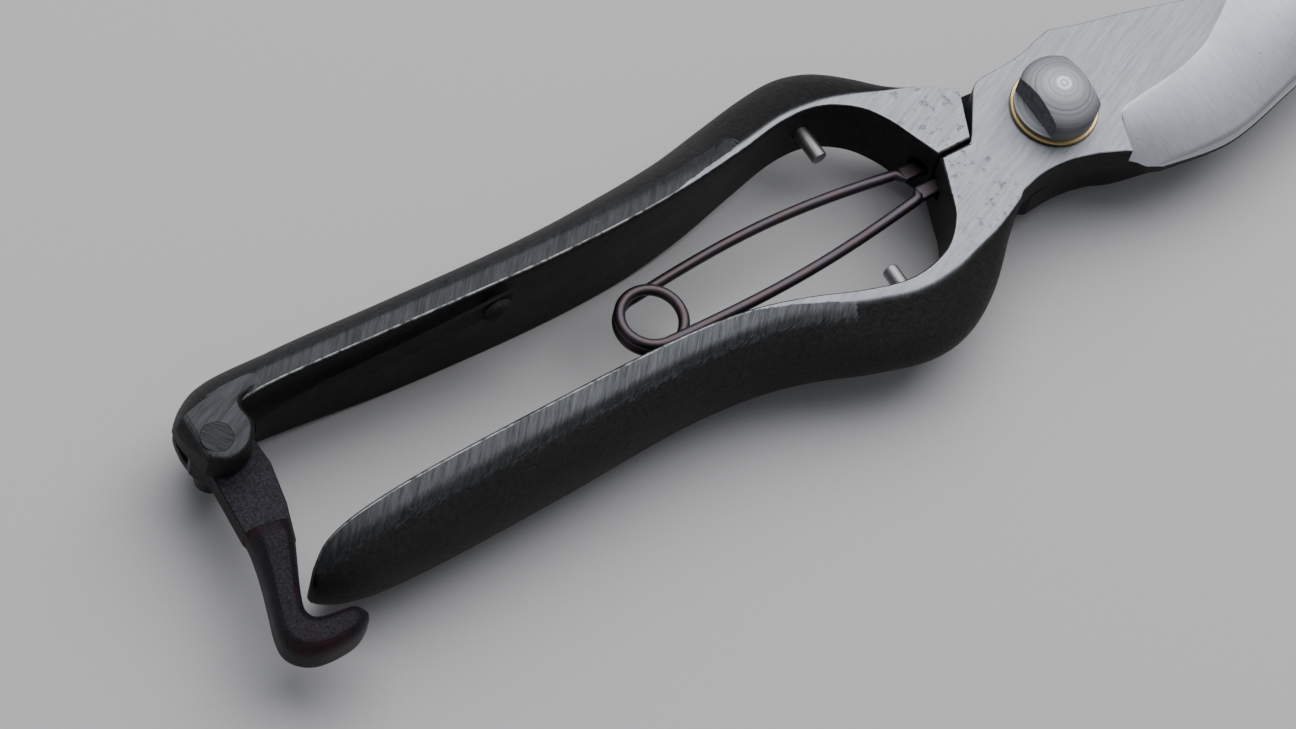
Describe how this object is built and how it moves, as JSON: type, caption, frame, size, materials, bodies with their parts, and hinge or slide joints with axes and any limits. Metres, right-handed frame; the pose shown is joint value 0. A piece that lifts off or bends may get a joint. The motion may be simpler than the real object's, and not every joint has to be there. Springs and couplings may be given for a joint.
{
  "type": "floral snips",
  "caption": "Forged bypass snips with slim curved handles, a leaf-shaped blade, a domed pivot bolt, a wire V-spring and a swinging tail latch.",
  "frame": {"origin": "on the pivot axis, at the plane the tool rests on when it lies on its back", "axes": "+X along the closed blade to its tip, +Y across to the upper handle, +Z along the pivot bolt to its domed head"},
  "size_m": [0.1767, 0.0422, 0.0196],
  "materials": {
    "forged_steel": "forge-black handles with ground plates",
    "ground_steel": "satin turned and ground",
    "brass": "satin",
    "tempered_wire": "brown temper colour, satin",
    "oxide_brown": "plum-brown oxide, fine grain"
  },
  "bodies": {
    "cutting_lever": {"cutting_lever": "forged_steel", "pivot_bolt": "ground_steel", "front_washer": "brass", "rear_washer": "ground_steel", "pivot_nut": "ground_steel", "lower_peg": "ground_steel"},
    "counter_lever": {"counter_lever": "forged_steel", "latch_rivet": "forged_steel", "upper_peg": "ground_steel", "latch_leaf_spring": "tempered_wire", "leaf_spring_rivet": "forged_steel"},
    "latch": {"latch": "oxide_brown"},
    "spring_lower_leg": {"spring_lower_leg": "tempered_wire"},
    "spring_upper_leg": {"spring_upper_leg": "tempered_wire"}
  },
  "joints": [
    {"name": "pivot", "type": "hinge", "parent": "cutting_lever", "child": "counter_lever", "pos_m": [0, 0, 0.0085], "axis": [0, 0, -1], "range_deg": [0, 24]},
    {"name": "latch_swing", "type": "hinge", "parent": "counter_lever", "child": "latch", "pos_m": [-0.1163, 0.0096, 0.0085], "axis": [0, 0, -1], "range_deg": [0, 120]},
    {"name": "spring_foot", "type": "hinge", "parent": "cutting_lever", "child": "spring_lower_leg", "pos_m": [-0.0175, -0.0004, 0.0085], "axis": [0, 0, -1], "range_deg": [0, 21.2]},
    {"name": "spring_coil", "type": "hinge", "parent": "spring_lower_leg", "child": "spring_upper_leg", "pos_m": [-0.0594, 0.0009, 0.0085], "axis": [0, 0, -1], "range_deg": [-9.9, 0]}
  ],
  "couplings": [
    {"joint": "latch_swing", "follows": "pivot", "ratio": 5},
    {"joint": "spring_foot", "follows": "pivot", "ratio": 0.88},
    {"joint": "spring_coil", "follows": "pivot", "ratio": -0.41}
  ]
}
